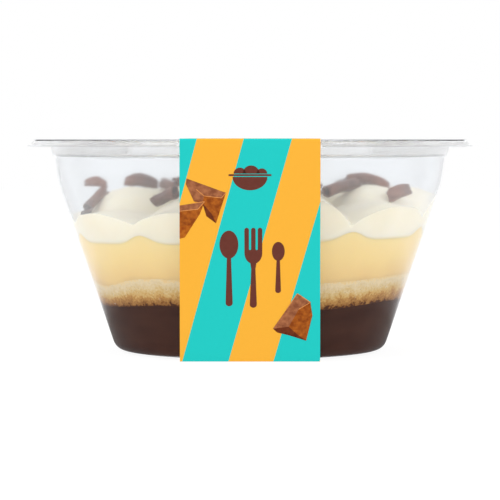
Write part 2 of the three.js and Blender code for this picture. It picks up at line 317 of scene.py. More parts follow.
def spongeMaterial():  # open crumb: pale above, soaked golden below, with dark pores and toffee creeping in
    material, tree = newMaterial("soaked sponge crumb")
    place = addNode(tree, "ShaderNodeTexCoord").outputs["Object"]
    rise = addNode(tree, "ShaderNodeAttribute", attribute_name="rise").outputs["Fac"]
    lumps = addNode(tree, "ShaderNodeTexNoise", {"Vector": place, "Scale": 1 / (3.5 * mm), "Detail": 4})
    grain = addNode(tree, "ShaderNodeTexNoise", {"Vector": place, "Scale": 1 / (0.9 * mm), "Detail": 2})
    uneven = addNode(tree, "ShaderNodeMath", (
        addNode(tree, "ShaderNodeMath", (lumps, 0.5), operation="SUBTRACT"), 0.55), operation="MULTIPLY")
    fine = addNode(tree, "ShaderNodeMath", (
        addNode(tree, "ShaderNodeMath", (grain, 0.5), operation="SUBTRACT"), 0.5), operation="MULTIPLY")
    level = addNode(tree, "ShaderNodeMath", (
        rise, addNode(tree, "ShaderNodeMath", (uneven, fine), operation="ADD")), operation="ADD")
    body = addNode(tree, "ShaderNodeValToRGB", {"Fac": level}, stops=[
        (0.0, "#4d2a17"), (0.05, "#7c4c20"), (0.12, "#996a37"), (0.24, "#b07f45"), (0.34, "#bf9152"),
        (0.42, "#cfa868"), (0.52, "#d4b47a"), (0.66, "#dcc394"), (0.85, "#e1cca6"), (0.93, "#e6cfa4"),
        (1.0, "#e8ca94")])
    cells = addNode(tree, "ShaderNodeTexVoronoi", {"Vector": place, "Scale": 1 / (1.3 * mm)})
    pore = addNode(tree, "ShaderNodeMath", (
        cells, addNode(tree, "ShaderNodeMath", (grain, 0.34), operation="MULTIPLY")), operation="LESS_THAN")
    soaked = addNode(tree, "ShaderNodeMath", (
        pore, addNode(tree, "ShaderNodeMath", (1.0, rise), operation="SUBTRACT")), operation="MULTIPLY")
    colour = addNode(tree, "ShaderNodeMix", {
        0: addNode(tree, "ShaderNodeMath", (soaked, 0.75), operation="MULTIPLY"), 6: body,
        7: tint("#7a4a22")}, data_type="RGBA").outputs[2]
    finishOpaque(tree, {"Base Color": colour, "Roughness": 0.85, "Specular IOR Level": 0.1},
                 (cells, 0.5, 0.4))
    return material


def custardMaterial():  # set custard: smooth, satin, a touch deeper towards its foot
    material, tree = newMaterial("set custard")
    place = addNode(tree, "ShaderNodeTexCoord").outputs["Object"]
    rise = addNode(tree, "ShaderNodeAttribute", attribute_name="rise").outputs["Fac"]
    patch = addNode(tree, "ShaderNodeTexNoise", {"Vector": place, "Scale": 1 / (16 * mm), "Detail": 3})
    cloud = addNode(tree, "ShaderNodeMath", (
        addNode(tree, "ShaderNodeMath", (patch, 0.5), operation="SUBTRACT"), 0.5), operation="MULTIPLY")
    level = addNode(tree, "ShaderNodeMath", (rise, cloud), operation="ADD")
    colour = addNode(tree, "ShaderNodeValToRGB", {"Fac": level}, stops=[
        (0.0, "#e3c088"), (0.12, "#ecca8c"), (0.55, "#f4d796"), (1.0, "#f8dd9f")])
    finishOpaque(tree, {
        "Base Color": colour, "Roughness": 0.5, "Specular IOR Level": 0.1, "Subsurface Weight": 0.25,
        "Subsurface Radius": (1, 0.7, 0.35), "Subsurface Scale": 2.5 * mm})
    return material


def floorOfTub(angles):
    return np.full_like(angles, tub["sheet"] - fill["floorReach"])


def buildLayers():
    puntEdge = tub["puntRadius"] + tub["puntRise"]
    foot = float(innerWall(floorOfTub(np.zeros(1)))[0])
    broad = [0, 0.4, 0.8, 0.96]
    flat = [0, (puntEdge - 2) / foot, puntEdge / foot, 0.97]
    curved = [0, 0.01, 0.025, 0.05, 0.08, 0.12, 0.17, 0.23] + list(np.linspace(0.3, 1, 14))
    rows, rises = layerRows(floorOfTub, toffeeTop, flat, curved, broad[::-1])
    for index in (0, 1):  # the sauce sits on the punt
        rows[index] = (rows[index][0], rows[index][1] + tub["puntRise"] + fill["tuck"])
    item = newPiece("toffeeSauce", ringMesh("toffeeSauce", rows, rises))
    item.data.materials.append(toffeeMaterial())
    settlePiece(item, "toffee", "toffee_layer")

    rows, rises = layerRows(toffeeTop, spongeTop, broad, list(np.linspace(0, 1, 40)), broad[::-1])
    item = newPiece("spongeLayer", ringMesh("spongeLayer", rows, rises))
    openCrumb(item.data)
    item.data.materials.append(spongeMaterial())
    settlePiece(item, "sponge", "sponge_layer")

    rows, rises = layerRows(spongeTop, custardTop, broad, list(np.linspace(0, 1, 16)), broad[::-1])
    item = newPiece("custardLayer", ringMesh("custardLayer", rows, rises))
    item.data.materials.append(custardMaterial())
    settlePiece(item, "custard", "custard_layer")


crumb = {"poreStart": 0.12, "poreSize": 1.6, "poreDepth": 1.1, "lumpSize": 6}


def openCrumb(mesh):  # pores open a little way in from the wall
    for vertex in mesh.vertices:
        place = vertex.co
        pore = max(0.0, noise.noise(place / (crumb["poreSize"] * mm)) - crumb["poreStart"])
        lump = 0.5 + 0.5 * noise.noise(place / (crumb["lumpSize"] * mm))
        inward = crumb["poreDepth"] * mm * pore * lump
        reach = math.hypot(place.x, place.y)
        if reach > 1e-6:
            vertex.co.x -= place.x / reach * inward
            vertex.co.y -= place.y / reach * inward


buildLayers()
print("toffee, sponge and custard made")


cream = {"softness": 0.55, "foldSize": 11, "foldDepth": 0.65, "rippleSize": 4.2, "rippleDepth": 0.34,
         "bubbleSize": 1.3, "bubbleDepth": 0.07, "swayDepth": 1.6, "swaySize": 17, "edgeHeight": 53}


def swirlCream(x, y, share):  # dollops run softly into each other, with folds and ripples
    fade = np.clip((1 - share) / 0.04, 0, 1)
    places = [Vector((float(a), float(b), 0)) for a, b in zip(x, y)]
    shiftX = np.array([noise.noise(p / cream["swaySize"]) for p in places]) * cream["swayDepth"] * fade
    shiftY = np.array([noise.noise(p / cream["swaySize"] + Vector((7, 3, 5))) for p in places])
    heights = creamTop(x + shiftX, y + shiftY * cream["swayDepth"] * fade)
    top = np.max(heights, axis=0)
    height = top + cream["softness"] * np.log(np.sum(np.exp((heights - top) / cream["softness"]), axis=0))
    folds = np.array([noise.noise(p / cream["foldSize"] + Vector((0, 0, 2))) for p in places])
    ripples = np.array([noise.noise(p / cream["rippleSize"] + Vector((0, 0, 6))) for p in places])
    bubbles = np.array([noise.noise(p / cream["bubbleSize"] + Vector((0, 0, 9))) for p in places])
    return (height + cream["foldDepth"] * folds * (0.4 + 0.6 * fade)
            + (cream["rippleDepth"] * ripples + cream["bubbleDepth"] * bubbles) * (0.35 + 0.65 * fade))


def creamMaterial():  # whipped dairy cream: warm white, light scatters under its surface, fine air bubbles
    material, tree = newMaterial("whipped dairy cream")
    place = addNode(tree, "ShaderNodeTexCoord").outputs["Object"]
    cloud = addNode(tree, "ShaderNodeTexNoise", {"Vector": place, "Scale": 1 / (18 * mm), "Detail": 3})
    plain = addNode(tree, "ShaderNodeValToRGB", {"Fac": cloud}, stops=[(0.3, "#f1e8d0"), (0.7, "#f6eeda")])
    rise = addNode(tree, "ShaderNodeAttribute", attribute_name="rise").outputs["Fac"]
    # a little custard is drawn up into its foot
    mingled = addNode(tree, "ShaderNodeValToRGB", {"Fac": rise}, stops=[
        (0.0, "#ffffff"), (0.09, "#000000")])
    colour = addNode(tree, "ShaderNodeMix", {0: mingled, 6: plain, 7: tint("#f3dfac")},
                     data_type="RGBA").outputs[2]
    bubbles = addNode(tree, "ShaderNodeTexNoise", {"Vector": place, "Scale": 1 / (0.7 * mm), "Detail": 2})
    finishOpaque(tree, {
        "Base Color": colour, "Roughness": 0.5, "Specular IOR Level": 0.25, "Subsurface Weight": 0.4,
        "Subsurface Radius": (1, 0.85, 0.6), "Subsurface Scale": 6 * mm}, (bubbles, 0.12, 0.3))
    return material


def buildCream():
    angles = np.linspace(0, 2 * np.pi, fill["sectors"], endpoint=False)
    reach = innerWall(np.full_like(angles, cream["edgeHeight"]))
    wallTop = swirlCream(reach * np.sin(angles), -reach * np.cos(angles), 1.0)
    shares = 1 - np.linspace(0, 1, 84) ** 1.25
    rows, rises = layerRows(custardTop, lambda a: wallTop, [0, 0.4, 0.8, 0.96], list(np.linspace(0, 1, 18)),
                            shares[1:].tolist(), swirlCream)
    item = newPiece("whippedCream", ringMesh("whippedCream", rows, rises))
    item.data.materials.append(creamMaterial())
    settlePiece(item, "whipped_cream", "cream_layer")
    return item


creamPiece = buildCream()
print("cream made")


curl = {"thickness": 0.55, "pitch": 0.95, "around": 40, "along": 18, "sink": 0.9, "ragged": 3.0,
        "spiral": 1.2}  # how far, in radians, a sheet winds on from one end of its roll to the other
curls = [  # x, y, heading, length, radius, windings, open edge; the same rolls as the solids
    (-59.2, -12, 4, 8.5, 2.7, 0.4, 160),
    (-58.7, -20, 69.5, 16.5, 2.5, 1.2, 240),
    (-61.9, -23.3, 70, 5, 1.4, 0.6, 60),
    (-41.8, -6, -3, 13, 3.7, 0.4, 160),
    (-31.5, -40, -40, 10.5, 2.9, 1.4, 275),
    (-24, 6, 38, 14, 2.6, 1.3, 90),
    (-29, 32, 150, 16, 3, 0.6, 30),
    (34.7, -24, 45, 17, 2.9, 1.4, 250),
    (45.6, -10.5, 4, 17, 2.4, 1.1, 150),
    (55.2, -27.5, 25, 10, 2.7, 0.5, 175),
    (22, 1, 10, 12, 2.7, 1.5, 0),
    (0, -41, 12, 17, 3.1, 1.3, 60),
    (3, 16, -22, 16, 2.8, 0.55, 15),
    (6, 43, 24, 15, 3, 1.4, 100),
    (40, 30, 128, 15, 3, 1.5, 210),
    (-55, 14, 100, 13, 2.7, 0.6, 40),
    (52, 20, 160, 14, 2.6, 1.2, 90),
    (-22, 57, 170, 12, 2.7, 1.3, 60),
    (-5, -58, -6, 13, 2.8, 1.2, 130),
]
propped = {  # curl: height of its middle, slope, bend and taper of those that lean on others
    1: (64.6, -0.08, 7.6, 0.6), 2: (59, 0.36, 1, 0), 3: (53.4, 0.1, 0, 0.3), 4: (64.8, -0.09, 10.4, 0.6),
    5: (60.4, 0.36, 0.6, 0), 8: (63.6, 0.166, 2, 0), 9: (66, -0.2, 8, 0.1), 10: (61.4, 0.34, 2, 0.5)}


def chocolateMaterial():  # shaved milk chocolate: silky, with fine drag lines from the blade and paler bloom
    material, tree = newMaterial("shaved milk chocolate")
    drag = addNode(tree, "ShaderNodeAttribute", attribute_name="drag").outputs["Vector"]
    stretched = addNode(tree, "ShaderNodeMapping", {"Vector": drag, "Scale": (0.12, 1, 1)})
    lines = addNode(tree, "ShaderNodeTexNoise", {
        "Vector": stretched, "Scale": 1 / (0.45 * mm), "Detail": 3})
    place = addNode(tree, "ShaderNodeTexCoord").outputs["Object"]
    patch = addNode(tree, "ShaderNodeTexNoise", {"Vector": place, "Scale": 1 / (3 * mm), "Detail": 2})
    tone = addNode(tree, "ShaderNodeMath", (
        addNode(tree, "ShaderNodeMath", (lines, 0.55), operation="MULTIPLY"),
        addNode(tree, "ShaderNodeMath", (patch, 0.45), operation="MULTIPLY")), operation="ADD")
    dull = addNode(tree, "ShaderNodeValToRGB", {"Fac": tone}, stops=[
        (0.3, "#4a2e26"), (0.5, "#614036"), (0.72, "#80594b")])
    warm = addNode(tree, "ShaderNodeValToRGB", {"Fac": tone}, stops=[
        (0.3, "#5e3424"), (0.5, "#7a4630"), (0.72, "#935d43")])
    region = addNode(tree, "ShaderNodeTexNoise", {"Vector": place, "Scale": 1 / (30 * mm), "Detail": 1})
    pieces = addNode(tree, "ShaderNodeValToRGB", {"Fac": region}, stops=[
        (0.44, "#000000"), (0.56, "#ffffff")])
    colour = addNode(tree, "ShaderNodeMix", {0: pieces, 6: dull, 7: warm}, data_type="RGBA").outputs[2]
    finishOpaque(tree, {"Base Color": colour, "Roughness": 0.42, "Specular IOR Level": 0.4},
                 (lines, 0.35, 0.2))
    return material


def rollTree(material):  # a sheet rolled about X: ragged edges, a slight bend and a waist
    tree, given = addTree("chocolateRoll", [
        ("Radius", "Float"), ("Length", "Float"), ("Windings", "Float"), ("Tightening", "Float"),
        ("Opening", "Float"), ("Spiral", "Float"), ("Bend", "Float"), ("Taper", "Float"), ("Ragged", "Float"),
        ("Around", "Int"), ("Along", "Int"), ("Seed", "Float")])
    sheet = addNode(tree, "GeometryNodeMeshGrid", {
        "Size X": 1.0, "Size Y": 1.0, "Vertices X": given["Around"], "Vertices Y": given["Along"]})
    place = addNode(tree, "ShaderNodeSeparateXYZ", {0: addNode(tree, "GeometryNodeInputPosition")}).outputs
    share = addNode(tree, "ShaderNodeMath", (place[0], 0.5), operation="ADD")

    def roughness(shareScale, alongScale, offset):
        spot = addNode(tree, "ShaderNodeCombineXYZ", {
            0: addNode(tree, "ShaderNodeMath", (share, shareScale), operation="MULTIPLY"),
            1: addNode(tree, "ShaderNodeMath", (place[1], alongScale), operation="MULTIPLY"),
            2: addNode(tree, "ShaderNodeMath", (given["Seed"], offset), operation="ADD")})
        cloud = addNode(tree, "ShaderNodeTexNoise", {"Vector": spot, "Scale": 1.0, "Detail": 2.0})
        return addNode(tree, "ShaderNodeMath", (cloud.outputs["Fac"], 0.5), operation="SUBTRACT")

    rim = addNode(tree, "ShaderNodeMath", (
        addNode(tree, "ShaderNodeMath", (
            addNode(tree, "ShaderNodeMath", (place[1],), operation="ABSOLUTE"), 2.0), operation="MULTIPLY"),
        3.0), operation="POWER")
    edge = addNode(tree, "ShaderNodeMath", (
        addNode(tree, "ShaderNodeMath", (
            addNode(tree, "ShaderNodeMath", (
                addNode(tree, "ShaderNodeMath", (share, 2.0), operation="MULTIPLY"), 1.0),
                operation="SUBTRACT"),), operation="ABSOLUTE"), 6.0), operation="POWER")
    tear = addNode(tree, "ShaderNodeMath", (
        addNode(tree, "ShaderNodeMath", (roughness(7.0, 2.0, 3.1), rim), operation="MULTIPLY"),
        given["Ragged"]), operation="MULTIPLY")
    run = addNode(tree, "ShaderNodeMath", (
        addNode(tree, "ShaderNodeMath", (place[1], given["Length"]), operation="MULTIPLY"), tear),
        operation="ADD")
    wander = addNode(tree, "ShaderNodeMath", (
        addNode(tree, "ShaderNodeMath", (roughness(1.0, 6.0, 8.7), edge), operation="MULTIPLY"), 0.9),
        operation="MULTIPLY")
    ends = addNode(tree, "ShaderNodeMath", (
        addNode(tree, "ShaderNodeMath", (place[1], place[1]), operation="MULTIPLY"), 4.0),
        operation="MULTIPLY")
    narrowing = addNode(tree, "ShaderNodeMath", (
        1.0, addNode(tree, "ShaderNodeMath", (ends, given["Taper"]), operation="MULTIPLY")),
        operation="SUBTRACT")
    kept = addNode(tree, "ShaderNodeMath", (
        addNode(tree, "ShaderNodeMath", (share, 0.5), operation="SUBTRACT"), narrowing, 0.5),
        operation="MULTIPLY_ADD")
    turn = addNode(tree, "ShaderNodeMath", (
        addNode(tree, "ShaderNodeMath", (
            addNode(tree, "ShaderNodeMath", (kept, given["Windings"]), operation="MULTIPLY"), 2 * math.pi),
            operation="MULTIPLY"), wander), operation="ADD")
    facing = addNode(tree, "ShaderNodeMath", (
        turn,
        addNode(tree, "ShaderNodeMath", (place[1], given["Spiral"], given["Opening"]),
                operation="MULTIPLY_ADD")), operation="ADD")
    wave = addNode(tree, "ShaderNodeMath", (
        addNode(tree, "ShaderNodeMath", (roughness(2.2, 1.6, 5.3), given["Radius"]), operation="MULTIPLY"),
        0.42), operation="MULTIPLY")
    waist = addNode(tree, "ShaderNodeMath", (
        0.94,
        addNode(tree, "ShaderNodeMath", (
            addNode(tree, "ShaderNodeMath", (place[1], place[1]), operation="MULTIPLY"), 0.3),
            operation="MULTIPLY")), operation="ADD")
    ridges = addNode(tree, "ShaderNodeMath", (
        addNode(tree, "ShaderNodeMath", (roughness(9.0, 2.4, 1.7), given["Radius"]), operation="MULTIPLY"),
        0.16), operation="MULTIPLY")
    wave = addNode(tree, "ShaderNodeMath", (wave, ridges), operation="ADD")
    wound = addNode(tree, "ShaderNodeMath", (
        given["Radius"],
        addNode(tree, "ShaderNodeMath", (share, given["Tightening"]), operation="MULTIPLY")),
        operation="SUBTRACT")
    reach = addNode(tree, "ShaderNodeMath", (
        addNode(tree, "ShaderNodeMath", (wound, waist), operation="MULTIPLY"), wave), operation="ADD")
    sag = addNode(tree, "ShaderNodeMath", (
        addNode(tree, "ShaderNodeMath", (place[1], place[1]), operation="MULTIPLY"), given["Bend"]),
        operation="MULTIPLY")
    rolled = addNode(tree, "ShaderNodeCombineXYZ", {
        0: run,
        1: addNode(tree, "ShaderNodeMath", (
            reach, addNode(tree, "ShaderNodeMath", (facing,), operation="COSINE")), operation="MULTIPLY"),
        2: addNode(tree, "ShaderNodeMath", (
            addNode(tree, "ShaderNodeMath", (
                reach, addNode(tree, "ShaderNodeMath", (facing,), operation="SINE")), operation="MULTIPLY"),
            sag), operation="SUBTRACT")})
    drag = addNode(tree, "ShaderNodeCombineXYZ", {
        0: addNode(tree, "ShaderNodeMath", (turn, given["Radius"]), operation="MULTIPLY"), 1: run})
    marked = addNode(tree, "GeometryNodeStoreNamedAttribute",
                     {"Geometry": sheet.outputs["Mesh"], "Name": "drag", "Value": drag},
                     data_type="FLOAT_VECTOR", domain="POINT")
    moved = addNode(tree, "GeometryNodeSetPosition", {"Geometry": marked, "Position": rolled})
    endTree(tree, moved, material)
    return tree


def topOfCream(x, y):
    return float(np.max(creamTop(np.array([x]), np.array([y]))))


def restOfCurl(x, y, heading, length, radius):  # the axis follows the slope and clears the highest point
    along = (math.cos(heading), math.sin(heading))

    def surface(run, side):
        return topOfCream(x + along[0] * run - along[1] * side, y + along[1] * run + along[0] * side)

    slope = (surface(length / 2, 0) - surface(-length / 2, 0)) / length
    lift = 0
    for run in np.linspace(-length / 2, length / 2, 9):
        for side in (-0.7, 0, 0.7):
            dip = radius * (1 - math.sqrt(1 - side * side))
            lift = max(lift, surface(run, side * radius) - slope * run - dip)
    return slope, lift + radius * math.hypot(1, slope)


def buildCurls():
    material = chocolateMaterial()
    tree = rollTree(material)
    for number, (x, y, heading, length, radius, windings, opening) in enumerate(curls, 1):
        item = newPiece(f"curl{number:02d}")
        slope, height = restOfCurl(x, y, math.radians(heading), length, radius)
        height, bow, taper = height - curl["sink"], 0.5 + 0.9 * (number % 3), 0.15 * (number % 4)
        if number in propped:
            height, slope, bow, taper = propped[number]
        values = {"Radius": radius * mm, "Length": length * mm, "Windings": windings, "Bend": bow * mm,
                  "Opening": math.radians(opening - 90), "Spiral": curl["spiral"] if windings > 1 else 0.0,
                  "Tightening": windings * curl["pitch"] * mm if windings > 1 else 0.0, "Taper": taper,
                  "Ragged": curl["ragged"] * mm, "Around": curl["around"], "Along": curl["along"],
                  "Seed": number * 4.7}
        growFrom(item, tree, values)
        shell = item.modifiers.new("thickness", "SOLIDIFY")
        shell.thickness = curl["thickness"] * mm
        shell.offset = -1
        rounding = item.modifiers.new("rounding", "SUBSURF")
        rounding.levels = rounding.render_levels = 1
        bake(item)
        turn = Matrix.Rotation(math.radians(heading), 4, "Z") @ Matrix.Rotation(-math.atan(slope), 4, "Y")
        item.data.transform(Matrix.Translation((x * mm, y * mm, floorZ + height * mm)) @ turn)
        faceOut(item.data)
        smooth(item.data)
        settlePiece(item, "milk_chocolate", f"chocolate_curl_{number:02d}")
    return material


chocolate = buildCurls()
print("curls rolled")


shavings = {"density": 8000, "length": 2.8, "width": 1.3, "thickness": 0.35, "arch": 0.7,
            "reach": 54, "front": 4,  # they lie inside this radius, behind this distance from the middle
            "smallest": 0.5, "largest": 1.4, "seed": 6}


def shavingTree(material):  # small arched chips lie at random on the flatter parts of the cream
    tree, given = addTree("looseShavings", [
        ("Cream", "Geometry"), ("Density", "Float"), ("Reach", "Float"), ("Front", "Float"),
        ("Length", "Float"), ("Width", "Float"), ("Thickness", "Float"), ("Arch", "Float"),
        ("Smallest", "Float"), ("Largest", "Float"), ("Seed", "Int")])
    spot = addNode(tree, "ShaderNodeSeparateXYZ", {0: addNode(tree, "GeometryNodeInputPosition")}).outputs
    away = addNode(tree, "ShaderNodeMath", (
        addNode(tree, "ShaderNodeMath", (
            addNode(tree, "ShaderNodeMath", (spot[0], spot[0]), operation="MULTIPLY"),
            addNode(tree, "ShaderNodeMath", (spot[1], spot[1]), operation="MULTIPLY")), operation="ADD"),),
        operation="SQRT")
    level = addNode(tree, "ShaderNodeSeparateXYZ", {0: addNode(tree, "GeometryNodeInputNormal")}).outputs[2]
    inside = addNode(tree, "ShaderNodeMath", (
        addNode(tree, "ShaderNodeMath", (away, given["Reach"]), operation="LESS_THAN"),
        addNode(tree, "ShaderNodeMath", (spot[1], given["Front"]), operation="GREATER_THAN")),
        operation="MULTIPLY")
    chosen = addNode(tree, "ShaderNodeMath", (
        addNode(tree, "ShaderNodeMath", (level, 0.8), operation="GREATER_THAN"), inside),
        operation="MULTIPLY")
    thrown = addNode(tree, "GeometryNodeDistributePointsOnFaces", {
        "Mesh": given["Cream"], "Selection": chosen, "Density": given["Density"], "Seed": given["Seed"]})
    size = addNode(tree, "ShaderNodeCombineXYZ", (given["Length"], given["Width"], given["Thickness"]))
    chip = addNode(tree, "GeometryNodeMeshCube", {
        "Size": size, "Vertices X": 8, "Vertices Y": 4, "Vertices Z": 2})
    along = addNode(tree, "ShaderNodeMath", (
        spot[0], addNode(tree, "ShaderNodeMath", (given["Length"], 0.5), operation="MULTIPLY")),
        operation="DIVIDE")
    fall = addNode(tree, "ShaderNodeMath", (
        addNode(tree, "ShaderNodeMath", (along, along), operation="MULTIPLY"), given["Arch"]),
        operation="MULTIPLY")
    lift = addNode(tree, "ShaderNodeCombineXYZ", {
        2: addNode(tree, "ShaderNodeMath", (given["Arch"], fall), operation="SUBTRACT")})
    arched = addNode(tree, "GeometryNodeSetPosition", {"Geometry": chip.outputs["Mesh"], "Offset": lift})
    scale = addNode(tree, "FunctionNodeRandomValue", {2: given["Smallest"], 3: given["Largest"],
                                                      "Seed": given["Seed"]}, data_type="FLOAT")
    lying = addNode(tree, "GeometryNodeInstanceOnPoints", {
        "Points": thrown.outputs["Points"], "Instance": arched, "Rotation": thrown.outputs["Rotation"],
        "Scale": scale.outputs[1]})
    twist = addNode(tree, "FunctionNodeRandomValue", {0: (-0.35, -0.35, 0.0), 1: (0.35, 0.35, 6.28),
                                                      "Seed": given["Seed"]}, data_type="FLOAT_VECTOR")
    strewn = addNode(tree, "GeometryNodeRotateInstances", {"Instances": lying, "Rotation": twist})
    endTree(tree, strewn, material)
    return tree


def scatterShavings():
    item = newPiece("looseShavings", creamPiece.data.copy())
    sizes = {name: shavings[name.lower()] * mm
             for name in ("Reach", "Front", "Length", "Width", "Thickness", "Arch")}
    growFrom(item, shavingTree(chocolate), sizes | {
        "Density": shavings["density"], "Smallest": shavings["smallest"], "Largest": shavings["largest"],
        "Seed": shavings["seed"]})
    bake(item)
    settlePiece(item, "milk_chocolate")
    print("loose shavings", len(item.data.vertices) // 64)


scatterShavings()


plastic = {"frost": 0.1, "mist": 0.14,  # of the damp inside face
           "thinness": 0.57}  # the share of light that passes the thin rim as if it weren't there


def clearMaterial(name, frost, mist, thinness=0.0):
    # PET sheet pressed over a mould: clear and glossy; frost is the blur of chilled damp inside,
    # mist the share of light that the damp scatters. Light on its way to the filling passes straight through.
    material, tree = newMaterial(name)
    path = addNode(tree, "ShaderNodeLightPath").outputs
    passing = addNode(tree, "ShaderNodeMath", (path["Is Shadow Ray"], path["Is Diffuse Ray"]),
                      operation="MAXIMUM")
    body = addNode(tree, "ShaderNodeBsdfPrincipled", {
        "Base Color": tint("#fbfdff"), "Roughness": frost, "IOR": 1.57, "Transmission Weight": 1.0})
    if mist:
        damp = addNode(tree, "ShaderNodeBsdfTranslucent", {"Color": tint("#f6f9ff")})
        body = addNode(tree, "ShaderNodeMixShader", {0: mist, 1: body, 2: damp})
    through = addNode(tree, "ShaderNodeBsdfTransparent")
    share = addNode(tree, "ShaderNodeMath", (passing, thinness), operation="MAXIMUM")
    mixed = addNode(tree, "ShaderNodeMixShader", {0: share, 1: body, 2: through})
    addNode(tree, "ShaderNodeOutputMaterial", {"Surface": mixed})
    return material


def bend(start, corner, end, steps):  # a short curve from one line to the next round their corner
    points = []
    for step in range(steps + 1):
        t = step / steps
        points.append(tuple((1 - t) ** 2 * a + 2 * t * (1 - t) * b + t * t * c
                            for a, b, c in zip(start, corner, end)))
    return points


def outerLine():  # the wall's outer line, from the middle of the underside to the top of the collar
    corner, slope = tub["footCorner"], tub["wallSlope"]
    shoulder = tub["shoulderHeight"]
    radius = corner + slope * shoulder
    rise, step = tub["shoulderSlope"], tub["collarStep"]
    high = tub["collarHeight"]
    collar = radius + rise * (high - shoulder)
    line = [(0, tub["puntRise"])]
    line += [(r, tub["puntRise"]) for r in (12, 24)]
    line += bend((tub["puntRadius"] - 1, tub["puntRise"]), (tub["puntRadius"], tub["puntRise"]),
                 (tub["puntRadius"] + tub["puntRise"] / 2, tub["puntRise"] / 2), 3)
    line += [(tub["puntRadius"] + tub["puntRise"], 0)]
    line += bend((corner - footSpan, 0), (corner, 0), (corner + slope * footSpan, footSpan), 10)
    line += [(corner + slope * h, h) for h in np.linspace(8, shoulder - 6, 12)]
    line += bend((radius - slope * 3, shoulder - 3), (radius, shoulder), (radius + rise * 3, shoulder + 3), 8)
    line += bend((collar - rise, high - 1), (collar, high), (collar + 0.5, high + 0.15), 4)
    line += bend((collar + step - 0.5, high + 0.45), (collar + step, high + 0.6),
                 (collar + step, high + 1.2), 4)
    return line


def inset(line, distance):
    moved = []
    for i, (r, h) in enumerate(line):
        a, b = line[max(i - 1, 0)], line[min(i + 1, len(line) - 1)]
        span = math.hypot(b[0] - a[0], b[1] - a[1])
        moved.append((max(r - (b[1] - a[1]) / span * distance, 0) if i else 0,
                      h + (b[0] - a[0]) / span * distance))
    return moved


def tubProfile():
    outside = outerLine()
    sheet, high, lip = tub["sheet"], tub["flangeHeight"], tub["lipHeight"]
    inner, outer, thin = tub["flangeInner"], tub["flangeOuter"], tub["lipThickness"]
    under = high - sheet
    rim = bend((inner - 0.4, under - 1.4), (inner - 0.35, under), (inner + 0.9, under), 4)
    rim += bend((outer - 1.2, under), (outer - 0.5, under), (outer - 0.3, under - 0.4), 3)
    rim += bend((outer + 0.2, lip + 0.3), (outer + 0.3, lip), (outer + 0.8, lip), 2)
    rim += bend((tub["lipRadius"] - 0.15, lip), (tub["lipRadius"], lip), (tub["lipRadius"], lip + 0.15), 3)
    rim += bend((tub["lipRadius"], lip + thin - 0.15), (tub["lipRadius"], lip + thin),
                (tub["lipRadius"] - 0.15, lip + thin), 3)
    rim += bend((outer + 1.2, lip + thin), (outer + 0.85, lip + thin), (outer + 0.8, lip + thin + 0.35), 3)
    rim += bend((outer + 0.15, high - 0.5), (outer, high), (outer - 0.5, high), 4)
    rim += bend((inner, high), (inner - sheet - 0.1, high), (inner - sheet - 0.2, high - 0.7), 4)
    return outside + rim + inset(outside, sheet)[::-1]


